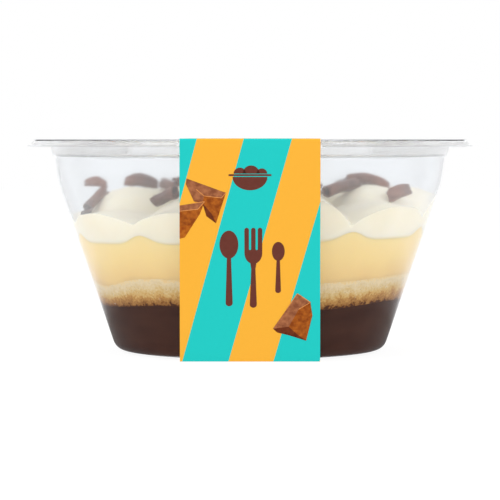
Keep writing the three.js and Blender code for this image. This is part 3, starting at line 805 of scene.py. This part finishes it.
def turnTree(material):  # turns a profile about Z, pressing denest lugs into the collar
    tree, given = addTree("turnedTub", [
        ("Profile", "Geometry"), ("Sectors", "Int"), ("Lug Depth", "Float"), ("Lug Angle", "Float"),
        ("Lug Turn", "Float"), ("Lug Width", "Float"), ("Lug Low", "Float"), ("Lug High", "Float")])
    size = addNode(tree, "GeometryNodeAttributeDomainSize", {0: given["Profile"]}).outputs["Point Count"]
    columns = addNode(tree, "ShaderNodeMath", (given["Sectors"], 1.0), operation="ADD")
    grid = addNode(tree, "GeometryNodeMeshGrid", {"Size X": 1.0, "Size Y": 1.0,
                                                  "Vertices X": size, "Vertices Y": columns})
    index = addNode(tree, "GeometryNodeInputIndex")
    row = addNode(tree, "ShaderNodeMath", (
        addNode(tree, "ShaderNodeMath", (
            addNode(tree, "ShaderNodeMath", (index, 0.5), operation="ADD"), columns), operation="DIVIDE"),),
        operation="FLOOR")
    column = addNode(tree, "ShaderNodeMath", (
        index, addNode(tree, "ShaderNodeMath", (row, columns), operation="MULTIPLY")), operation="SUBTRACT")
    place = addNode(tree, "GeometryNodeInputPosition")
    sample = addNode(tree, "GeometryNodeSampleIndex",
                     {"Geometry": given["Profile"], "Value": place, "Index": row},
                     data_type="FLOAT_VECTOR", domain="POINT")
    point = addNode(tree, "ShaderNodeSeparateXYZ", {0: sample}).outputs
    angle = addNode(tree, "ShaderNodeMath", (
        addNode(tree, "ShaderNodeMath", (column, given["Sectors"]), operation="DIVIDE"), 2 * math.pi),
        operation="MULTIPLY")
    shifted = addNode(tree, "ShaderNodeMath", (angle, given["Lug Turn"]), operation="SUBTRACT")
    folded = addNode(tree, "ShaderNodeMath", (
        addNode(tree, "ShaderNodeMath", (addNode(tree, "ShaderNodeMath", (shifted,), operation="COSINE"),),
                operation="ABSOLUTE"),), operation="ARCCOSINE")
    away = addNode(tree, "ShaderNodeMath", (
        addNode(tree, "ShaderNodeMath", (folded, given["Lug Angle"]), operation="SUBTRACT"),
        given["Lug Width"]), operation="DIVIDE")
    ridge = addNode(tree, "ShaderNodeMath", (
        math.e,
        addNode(tree, "ShaderNodeMath", (
            addNode(tree, "ShaderNodeMath", (away, away), operation="MULTIPLY"), -1.0),
            operation="MULTIPLY")), operation="POWER")
    inBand = addNode(tree, "ShaderNodeMath", (
        addNode(tree, "ShaderNodeMath", (point[2], given["Lug Low"]), operation="GREATER_THAN"),
        addNode(tree, "ShaderNodeMath", (point[2], given["Lug High"]), operation="LESS_THAN")),
        operation="MULTIPLY")
    depth = addNode(tree, "ShaderNodeMath", (
        addNode(tree, "ShaderNodeMath", (ridge, inBand), operation="MULTIPLY"), given["Lug Depth"]),
        operation="MULTIPLY")
    reach = addNode(tree, "ShaderNodeMath", (point[0], depth), operation="SUBTRACT")
    spot = addNode(tree, "ShaderNodeCombineXYZ", {
        0: addNode(tree, "ShaderNodeMath", (
            reach, addNode(tree, "ShaderNodeMath", (angle,), operation="SINE")), operation="MULTIPLY"),
        1: addNode(tree, "ShaderNodeMath", (
            addNode(tree, "ShaderNodeMath", (
                reach, addNode(tree, "ShaderNodeMath", (angle,), operation="COSINE")),
                operation="MULTIPLY"), -1.0), operation="MULTIPLY"), 2: point[2]})
    moved = addNode(tree, "GeometryNodeSetPosition", {"Geometry": grid.outputs["Mesh"], "Position": spot})
    closed = addNode(tree, "GeometryNodeMergeByDistance", {"Geometry": moved, "Distance": 1e-06})
    endTree(tree, closed, material)
    return tree


def turned(name, profile, tree, sectors, lugs):  # a profile in millimetres above the tub's underside
    points = [(r * mm, 0, floorZ + h * mm) for r, h in profile]
    line = bpy.data.meshes.new(name)
    line.from_pydata(points, [(i, i + 1) for i in range(len(points) - 1)], [])
    item = newPiece(name, line)
    values = {"Sectors": sectors, "Lug Depth": lugs * mm, "Lug Angle": math.radians(tub["lugAngle"]),
              "Lug Turn": math.radians(tub["lugTurn"]), "Lug Width": math.radians(tub["lugWidth"]),
              "Lug Low": floorZ + (tub["collarHeight"] + 1.3) * mm,
              "Lug High": floorZ + (tub["flangeHeight"] - 1.2) * mm}
    growFrom(item, tree, values)
    bake(item)
    faceOut(item.data)
    smooth(item.data)
    return item


def buildTub():
    clear = clearMaterial("clear PET sheet", 0.0, 0.0)
    damp = clearMaterial("clear PET sheet misted inside", plastic["frost"], plastic["mist"])
    tree = turnTree(clear)
    item = turned("clearTub", tubProfile(), tree, tub["sectors"], tub["lugDepth"])
    item.data.materials.append(damp)
    thin = clearMaterial("clear PET rim drawn thin", 0.0, 0.0, plastic["thinness"])
    item.data.materials.append(thin)
    for face in item.data.polygons:  # the damp is on the inside of the wall, above the filling
        outward = Vector((face.center.x, face.center.y, 0)).dot(face.normal)
        height = (face.center.z - floorZ) / mm
        if height > tub["thinFoot"]:
            face.material_index = 2
        elif outward < 0 and height > tub["dampFoot"]:
            face.material_index = 1
    settlePiece(item, "clear_tub", "tub")
    return clear, thin


film = {"thickness": 0.07, "sag": 0.35, "lift": 0.3, "flat": 0.9, "pullReach": 76, "pullDepth": 0.12,
        "edgeAngle": 40, "sectors": 240}
seal = {"ribs": 300, "reach": 81, "length": 4.4, "width": 0.7,
        "low": -0.1, "high": 0.3}  # the ribs run from the flange into the film, measured from the film's foot


def buildFilm(clear):
    radius = lidHigh.x / mm
    foot = (lidLow.z - floorZ) / mm + film["lift"]
    shares = np.linspace(0, 1, 30)
    lower = [(radius * s, foot - film["sag"] * (1 - min(s / film["flat"], 1) ** 2)) for s in shares]
    upper = [(r, h + film["thickness"]) for r, h in lower]
    item = turned("lidFilm", lower + upper[::-1], turnTree(clear), film["sectors"], 0)
    for vertex in item.data.vertices:  # faint pulls across the film
        place = vertex.co
        fade = max(0.0, 1 - math.hypot(place.x, place.y) / (film["pullReach"] * mm))
        pull = noise.noise(Vector((place.x * 60, place.y * 25, 1.5)))
        vertex.co.z += film["pullDepth"] * mm * min(fade * 4, 1) * pull
    item.data.set_sharp_from_angle(angle=math.radians(film["edgeAngle"]))
    settlePiece(item, "clear_film", "lid_film")


def sealTree(material):  # short radial ribs on a ring, where the hot sealing tool pressed the film down
    tree, given = addTree("sealRibs", [("Count", "Int"), ("Reach", "Float"), ("Size", "Vector"),
                                       ("Height", "Float")])
    ring = addNode(tree, "GeometryNodeMeshCircle", {"Vertices": given["Count"], "Radius": given["Reach"]})
    rib = addNode(tree, "GeometryNodeMeshCube", {"Size": given["Size"], "Vertices X": 2, "Vertices Y": 2,
                                                 "Vertices Z": 2})
    spot = addNode(tree, "ShaderNodeSeparateXYZ", {0: addNode(tree, "GeometryNodeInputPosition")}).outputs
    angle = addNode(tree, "ShaderNodeMath", (spot[1], spot[0]), operation="ARCTAN2")
    facing = addNode(tree, "ShaderNodeCombineXYZ", {2: angle})
    around = addNode(tree, "GeometryNodeInstanceOnPoints", {
        "Points": ring, "Instance": rib.outputs["Mesh"], "Rotation": facing})
    lift = addNode(tree, "ShaderNodeCombineXYZ", {2: given["Height"]})
    raised = addNode(tree, "GeometryNodeSetPosition", {"Geometry": around, "Offset": lift})
    endTree(tree, raised, material)
    return tree


def buildSeal(clear):
    low, high = lidLow.z + seal["low"] * mm, lidLow.z + seal["high"] * mm
    item = newPiece("filmSeal")
    growFrom(item, sealTree(clear), {
        "Count": seal["ribs"], "Reach": seal["reach"] * mm, "Height": (low + high) / 2,
        "Size": (seal["length"] * mm, seal["width"] * mm, high - low)})
    bake(item)
    settlePiece(item, "clear_film")


clearPlastic, thinPlastic = buildTub()
buildFilm(clearPlastic)
buildSeal(thinPlastic)
print("tub and film made")


sleeve = {"thickness": 0.4, "topWidth": 49.8, "footWidth": 51.7, "footReach": 52.8, "topReach": 88,
          "fold": 0.9, "panelRows": 24, "panelColumns": 12,
          "stripe": 17.05, "period": 33.6, "lean": 0.255, "firstEdge": -24.95}
sleeveTall = (sleeveHigh.z - sleeveLow.z) / mm
panelLength = math.hypot(sleeve["topReach"] - sleeve["footReach"], sleeveTall)
panelAlong = ((sleeve["topReach"] - sleeve["footReach"]) / panelLength, sleeveTall / panelLength)


def cardMaterials():
    # folding boxboard, offset printed and varnished satin: flat fields of colour, a faint fibre beneath
    printed, tree = newMaterial("printed boxboard")
    spot = addNode(tree, "ShaderNodeUVMap", uv_map="print")
    across = addNode(tree, "ShaderNodeSeparateXYZ", {0: spot}).outputs
    slanted = addNode(tree, "ShaderNodeMath", (
        across[0], addNode(tree, "ShaderNodeMath", (across[1], sleeve["lean"]), operation="MULTIPLY")),
        operation="SUBTRACT")
    phase = addNode(tree, "ShaderNodeMath", (
        addNode(tree, "ShaderNodeMath", (slanted, sleeve["firstEdge"]), operation="SUBTRACT"),
        sleeve["period"]), operation="FLOORED_MODULO")
    isTurquoise = addNode(tree, "ShaderNodeMath", (phase, sleeve["stripe"]), operation="LESS_THAN")
    colour = addNode(tree, "ShaderNodeMix", {0: isTurquoise, 6: tint("#fdb73b"), 7: tint("#21cec7")},
                     data_type="RGBA").outputs[2]
    place = addNode(tree, "ShaderNodeTexCoord").outputs["Object"]
    fibre = addNode(tree, "ShaderNodeTexNoise", {"Vector": place, "Scale": 1 / (1.2 * mm), "Detail": 3})
    tone = addNode(tree, "ShaderNodeMath", (
        0.985, addNode(tree, "ShaderNodeMath", (fibre, 0.03), operation="MULTIPLY")), operation="ADD")
    inked = addNode(tree, "ShaderNodeVectorMath", {0: colour, 1: tone}, operation="MULTIPLY")
    finishOpaque(tree, {"Base Color": inked, "Roughness": 0.55, "Specular IOR Level": 0.08},
                 (fibre, 0.08, 0.2))

    # the unprinted inside and the cut edges: matt, fibrous off-white
    plain, tree = newMaterial("uncoated board")
    place = addNode(tree, "ShaderNodeTexCoord").outputs["Object"]
    fibre = addNode(tree, "ShaderNodeTexNoise", {"Vector": place, "Scale": 1 / (0.9 * mm), "Detail": 4})
    colour = addNode(tree, "ShaderNodeValToRGB", {"Fac": fibre}, stops=[(0.3, "#e3ddd0"), (0.7, "#f1ede4")])
    finishOpaque(tree, {"Base Color": colour, "Roughness": 0.9, "Specular IOR Level": 0.1},
                 (fibre, 0.25, 0.2))
    return printed, plain


def sleeveLoop(inward):  # the band's section as (y, z) in millimetres, round from the middle underneath
    top, foot = sleeveTall - inward, inward
    far = sleeve["topReach"] - 1.45 * inward
    near = sleeve["footReach"] - 0.7 * inward
    fold = sleeve["fold"] - 0.5 * inward
    lean = (panelAlong[0] * fold, panelAlong[1] * fold)

    def run(a, b, count):
        return [(a[0] + (b[0] - a[0]) * i / count, a[1] + (b[1] - a[1]) * i / count) for i in range(count)]

    front = bend((-near + fold, foot), (-near, foot), (-near - lean[0], foot + lean[1]), 5)[:-1]
    front += run((-near - lean[0], foot + lean[1]), (-far + lean[0], top - lean[1]), sleeve["panelRows"])
    front += bend((-far + lean[0], top - lean[1]), (-far, top), (-far + fold, top), 5)[:-1]
    across = run((-far + fold, top), (0, top), 14)
    half = run((0, foot), (-near + fold, foot), 10) + front + across
    back = [(-y, z) for y, z in reversed(half[1:])]
    return half + [(0, top)] + back


def buildSleeve():
    printed, plain = cardMaterials()
    outer, inner = sleeveLoop(0), sleeveLoop(sleeve["thickness"])
    count, columns = len(outer), sleeve["panelColumns"]
    travel = [0.0]
    for i in range(count):
        a, b = outer[i], outer[(i + 1) % count]
        travel.append(travel[-1] + math.hypot(b[0] - a[0], b[1] - a[1]))
    bottomRun = sleeve["footReach"]  # along the bottom panel before the front panel starts
    points = []
    for loop in (outer, inner):
        for y, z in loop:
            width = sleeve["footWidth"] + (sleeve["topWidth"] - sleeve["footWidth"]) * z / sleeveTall
            for column in range(columns + 1):
                x = width * (column / columns - 0.5)
                points.append((x * mm, y * mm, z * mm))
    faces, marks, kinds = [], [], []
    wide = columns + 1
    for side in (0, 1):
        base = side * count * wide
        for i in range(count):
            j = (i + 1) % count
            for column in range(columns):
                corners = [(i, column), (i, column + 1), (j, column + 1), (j, column)]
                if side:
                    corners.reverse()
                faces.append([base + row * wide + c for row, c in corners])
                marks.append([(points[base + row * wide + c][0] / mm,
                               travel[i + 1 if row == j else i] - bottomRun) for row, c in corners])
                kinds.append(side)
    for i in range(count):  # the cut edges
        j = (i + 1) % count
        for column in (0, columns):
            corners = [i * wide + column, j * wide + column,
                       (count + j) * wide + column, (count + i) * wide + column]
            if column == 0:
                corners.reverse()
            faces.append(corners)
            marks.append([(0, 0)] * 4)
            kinds.append(1)
    mesh = bpy.data.meshes.new("cardSleeve")
    mesh.from_pydata(points, [], faces)
    layer = mesh.uv_layers.new(name="print")
    for face, mark in zip(mesh.polygons, marks):
        for loopIndex, spot in zip(face.loop_indices, mark):
            layer.data[loopIndex].uv = spot
    item = newPiece("cardSleeve", mesh)
    item.data.materials.append(printed)
    item.data.materials.append(plain)
    mesh.polygons.foreach_set("material_index", kinds)
    smooth(mesh)
    mesh.set_sharp_from_angle(angle=math.radians(50))
    settlePiece(item, "printed_card", "sleeve")


buildSleeve()
print("sleeve folded")


def onPanel(u, v, lift):  # millimetres across and up the front panel, and out from it
    y = -(sleeve["footReach"] + v * panelAlong[0]) - lift * panelAlong[1]
    z = v * panelAlong[1] - lift * panelAlong[0]
    return Vector((u * mm, y * mm, sleeveLow.z + z * mm))


ink = {"lift": 0.05, "thickness": 0.03, "layer": 0.01, "edgeLift": 0.09, "edgeWidth": 0.28}


def addField(work, outline, lift, slotIndex):  # a thin closed field of ink with this outline
    area = sum(a[0] * b[1] - b[0] * a[1] for a, b in zip(outline, outline[1:] + outline[:1]))
    if area < 0:
        outline = outline[::-1]
    front = [work.verts.new(onPanel(u, v, lift)) for u, v in outline]
    back = [work.verts.new(onPanel(u, v, lift - ink["thickness"])) for u, v in outline]
    made = [work.faces.new(front), work.faces.new(back[::-1])]
    for i in range(len(front)):
        j = (i + 1) % len(front)
        made.append(work.faces.new((front[i], back[i], back[j], front[j])))
    for face in made:
        face.material_index = slotIndex


def ovalArc(centre, width, height, start, stop, steps=16):
    return [(centre[0] + width * math.cos(math.radians(start + (stop - start) * i / steps)),
             centre[1] + height * math.sin(math.radians(start + (stop - start) * i / steps)))
            for i in range(steps + 1)]


toffeeChunks = [  # facets as (tone, outline), drawn
    [("light", [(-22.6, 74), (-8.6, 68.4), (-10.2, 66.4), (-16.4, 67.2), (-19.2, 69.8), (-22.8, 71.8)]),
     ("mid", [(-8.6, 68.4), (-10.2, 66.4), (-16.4, 67.2), (-17, 64.4), (-13.6, 60), (-12.2, 56.4)]),
     ("light", [(-22.8, 71.8), (-19.2, 69.8), (-16.4, 67.2), (-17, 64.4), (-20, 65)]),
     ("dark", [(-17, 64.4), (-13.6, 60), (-12.2, 56.4), (-15.6, 59.2)])],
    [("light", [(-25.2, 63.4), (-20.6, 64.2), (-16.2, 65), (-18.6, 62), (-25.2, 61.2)]),
     ("mid", [(-25.2, 61.2), (-18.6, 62), (-16.2, 65), (-18, 60), (-20.4, 56), (-25.3, 55.2)]),
     ("warm", [(-25.3, 55.2), (-20.4, 56), (-23.4, 50.8), (-25.35, 50.2)])],
    [("light", [(8.4, 13.8), (13.4, 21.8), (17.2, 28.2), (22, 24.6), (17.8, 21.8), (14.2, 14.6)]),
     ("mid", [(14.2, 14.6), (17.8, 21.8), (22, 24.6), (22.8, 19.2), (20.6, 8.8), (17.4, 11.4)]),
     ("dark", [(8.4, 13.8), (14.2, 14.6), (17.4, 11.4), (20.6, 8.8), (14.4, 11), (10, 12.2)])],
]


def inkMaterials():
    # offset ink on board: the browns of the printed toffee, broken by a grain, and the shapes' plain brown
    inks = {}
    for name, low, high in (("light", "#8a4f33", "#b3714a"), ("mid", "#8c4212", "#b8641f"),
                            ("warm", "#9a4510", "#c4701f"), ("dark", "#5c2713", "#7a3a1c"),
                            ("edge", "#d98a4a", "#e39a58"), ("brown", "#6b372d", "#6f3a30")):
        material, tree = newMaterial(f"printed {name} brown")
        place = addNode(tree, "ShaderNodeTexCoord").outputs["Object"]
        grain = addNode(tree, "ShaderNodeTexNoise", {"Vector": place, "Scale": 1 / (1.8 * mm), "Detail": 5})
        colour = addNode(tree, "ShaderNodeValToRGB", {"Fac": grain}, stops=[(0.35, low), (0.65, high)])
        finishOpaque(tree, {"Base Color": colour, "Roughness": 0.5, "Specular IOR Level": 0.08})
        inks[name] = material
    return inks


def strip(a, b, width):  # a straight stroke from a to b
    length = math.hypot(b[0] - a[0], b[1] - a[1])
    side = ((b[1] - a[1]) / length * width / 2, -(b[0] - a[0]) / length * width / 2)
    return [(a[0] - side[0], a[1] - side[1]), (a[0] + side[0], a[1] + side[1]),
            (b[0] + side[0], b[1] + side[1]), (b[0] - side[0], b[1] - side[1])]


tableware = {  # millimetres across and up the panel
    "largeSpoon": {"x": -7.6, "foot": 23, "top": 53.5, "bowlWide": 3.4, "bowlTall": 5.6, "handle": 0.75},
    "fork": {"x": 1.2, "foot": 22.4, "top": 54.6, "wide": 3.2, "handle": 0.75},
    "smallSpoon": {"x": 10.2, "foot": 28.4, "top": 49, "bowlWide": 2.3, "bowlTall": 3.8, "handle": 0.6},
    "dishRim": 75.3, "rimReach": 7.6, "rimWidth": 0.7, "rimGap": 0.7, "dishRadius": 6.2, "dishDepth": 5.2,
    "scoops": [(-3.6, 2.2), (0.4, 3), (4.2, 1.9)]}  # place and radius


def spoonOutline(x, foot, top, bowlWide, bowlTall, handle):
    bowl = (x, top - bowlTall)
    turn = math.degrees(math.asin(handle / bowlWide))
    outline = ovalArc(bowl, bowlWide, bowlTall, -90 + turn, 270 - turn, 28)
    end = ovalArc((x, foot + handle * 1.7), handle * 1.7, handle * 1.7, 180, 360, 10)
    return outline + end


def forkOutline(x, foot, top, wide, handle):
    tines, gap = 3, 0.8
    tine = (2 * wide - gap * (tines - 1)) / tines
    root, slot = top - 13, top - 8.5
    outline = ovalArc((x, foot + handle * 1.7), handle * 1.7, handle * 1.7, 180, 360, 10)
    outline += [(x + handle, root - 3.5)]
    outline += ovalArc((x, slot - 1.5), wide, 4.4, -70, 0, 8)
    for i in reversed(range(tines)):
        left = x - wide + i * (tine + gap)
        outline += ovalArc((left + tine / 2, top - tine / 2), tine / 2, tine / 2, 0, 180, 6)
        if i:
            outline += ovalArc((left - gap / 2, slot), gap / 2, gap / 2, 360, 180, 4)
    outline += ovalArc((x, slot - 1.5), wide, 4.4, 180, 250, 8)
    return outline + [(x - handle, root - 3.5)]


def buildPrint():
    inks = inkMaterials()
    order = list(inks)
    work = bmesh.new()
    for number, chunk in enumerate(toffeeChunks):
        for tone, outline in chunk:
            addField(work, outline, ink["lift"] + ink["layer"] * number, order.index(tone))
        for tone, outline in chunk[:1]:  # a bright worn edge along the first facet
            for a, b in zip(outline[1:4], outline[2:5]):
                addField(work, strip(a, b, ink["edgeWidth"]), ink["edgeLift"] + ink["layer"] * number,
                         order.index("edge"))
    rim = tableware["dishRim"]
    shapes = [spoonOutline(**tableware["largeSpoon"]), forkOutline(**tableware["fork"]),
              spoonOutline(**tableware["smallSpoon"]),
              ovalArc((0, rim - tableware["rimGap"]), tableware["dishRadius"], tableware["dishDepth"],
                      180, 360, 24),
              strip((-tableware["rimReach"], rim), (tableware["rimReach"], rim), tableware["rimWidth"])]
    shapes += [ovalArc((x, rim + 0.6), size, size * 1.05, 0, 180, 12) for x, size in tableware["scoops"]]
    for outline in shapes:
        addField(work, outline, ink["lift"], order.index("brown"))
    mesh = bpy.data.meshes.new("panelPrint")
    work.to_mesh(mesh)
    work.free()
    item = newPiece("panelPrint", mesh)
    for name in order:
        mesh.materials.append(inks[name])
    settlePiece(item, "printed_card")


buildPrint()
print("print laid on")


studio = {"seen": 0.92, "lit": 0.84, "floorRadius": 3, "floorGap": 0.0002,
          "lamps": [  # name, place, what it is aimed at, size in metres and power in watts
              ("keyLeft", (-0.9, -0.8, 1.1), (0, 0, 0.04), 0.9, 8),
              ("keyRight", (0.95, -0.7, 0.9), (0, 0, 0.04), 0.8, 5),
              ("topBack", (0, 0.7, 1.4), (0, 0, 0.06), 1.0, 1.5)]}


def reflectedOnly(tree, path):  # rays sent back by a glossy face, not those passed on by clear sheet
    through = addNode(tree, "ShaderNodeMath", (1.0, path["Is Transmission Ray"]), operation="SUBTRACT")
    return addNode(tree, "ShaderNodeMath", (path["Is Glossy Ray"], through), operation="MULTIPLY")


def studioMaterial(name, seen, lit):
    # pale sweep that glows: what the camera sees; what gloss reflects, with painted shade dim close by the
    # tub and bright farther out; and what lights the rest
    material, tree = newMaterial(name)
    path = addNode(tree, "ShaderNodeLightPath").outputs
    reach = addNode(tree, "ShaderNodeVectorMath", {0: addNode(tree, "ShaderNodeTexCoord").outputs["Object"]},
                    operation="LENGTH").outputs["Value"]
    span = addNode(tree, "ShaderNodeMath", (reach, 2.0), operation="MULTIPLY")
    # painted shade in reflections: gloss sees the floor dark grey close round the tub and pale farther out
    mirrored = addNode(tree, "ShaderNodeValToRGB", {"Fac": span}, stops=[
        (0.17, "#646464"), (0.36, "#f4f5f7")])
    first = addNode(tree, "ShaderNodeMix", {
        0: path["Is Diffuse Ray"], 6: (seen,) * 3 + (1,), 7: (lit,) * 3 + (1,)},
        data_type="RGBA").outputs[2]
    second = addNode(tree, "ShaderNodeMix", {0: reflectedOnly(tree, path), 6: first, 7: mirrored},
                     data_type="RGBA").outputs[2]
    glow = addNode(tree, "ShaderNodeEmission", {"Color": second})
    matt = addNode(tree, "ShaderNodeBsdfDiffuse", {"Color": (0.14, 0.14, 0.14, 1)})
    both = addNode(tree, "ShaderNodeAddShader", {0: glow, 1: matt})
    addNode(tree, "ShaderNodeOutputMaterial", {"Surface": both})
    return material


def buildStudio():
    bpy.ops.mesh.primitive_circle_add(vertices=96, radius=studio["floorRadius"], fill_type="NGON",
                                      location=(0, 0, cadBox[0].z - studio["floorGap"]))
    floor = bpy.context.object
    floor.name = "floor"
    floor.data.materials.append(studioMaterial("pale floor", studio["seen"], studio["lit"]))
    for name, place, aimAt, size, power in studio["lamps"]:
        lamp = bpy.data.objects.new(name, bpy.data.lights.new(name, "AREA"))
        lamp.data.shape = "SQUARE"
        lamp.data.size = size
        lamp.data.energy = power
        lamp.location = place
        lamp.rotation_euler = (Vector(aimAt) - Vector(place)).to_track_quat("-Z", "Y").to_euler()
        scene.collection.objects.link(lamp)

    world = bpy.data.worlds.new("softStudio")
    scene.world = world
    world.use_nodes = True
    tree = world.node_tree
    tree.nodes.clear()
    path = addNode(tree, "ShaderNodeLightPath").outputs
    way = addNode(tree, "ShaderNodeSeparateXYZ", (addNode(tree, "ShaderNodeTexCoord").outputs["Generated"],))
    upward = addNode(tree, "ShaderNodeMath", (way.outputs[2], 0.5, 0.5), operation="MULTIPLY_ADD")
    # painted reflection: gloss alone sees this sky, grey below and at the horizon and white above, while the
    # camera sees plain white
    mirrored = addNode(tree, "ShaderNodeValToRGB", {"Fac": upward}, stops=[
        (0.3, "#8c8f94"), (0.49, "#dfe1e5"), (0.56, "#f4f6f9"), (0.8, "#ffffff")])
    soft = addNode(tree, "ShaderNodeValToRGB", {"Fac": upward}, stops=[
        (0.5, "#f3f4f5"), (0.75, "#d9dadc"), (1, "#bcbdbf")])
    direct = addNode(tree, "ShaderNodeMix", {0: path["Is Diffuse Ray"], 6: tint("#ffffff"), 7: soft},
                     data_type="RGBA").outputs[2]
    colour = addNode(tree, "ShaderNodeMix", {0: reflectedOnly(tree, path), 6: direct, 7: mirrored},
                     data_type="RGBA").outputs[2]
    sky = addNode(tree, "ShaderNodeBackground", {"Color": colour})
    addNode(tree, "ShaderNodeOutputWorld", {"Surface": sky})


buildStudio()
print("studio lit")

bpy.context.view_layer.update()
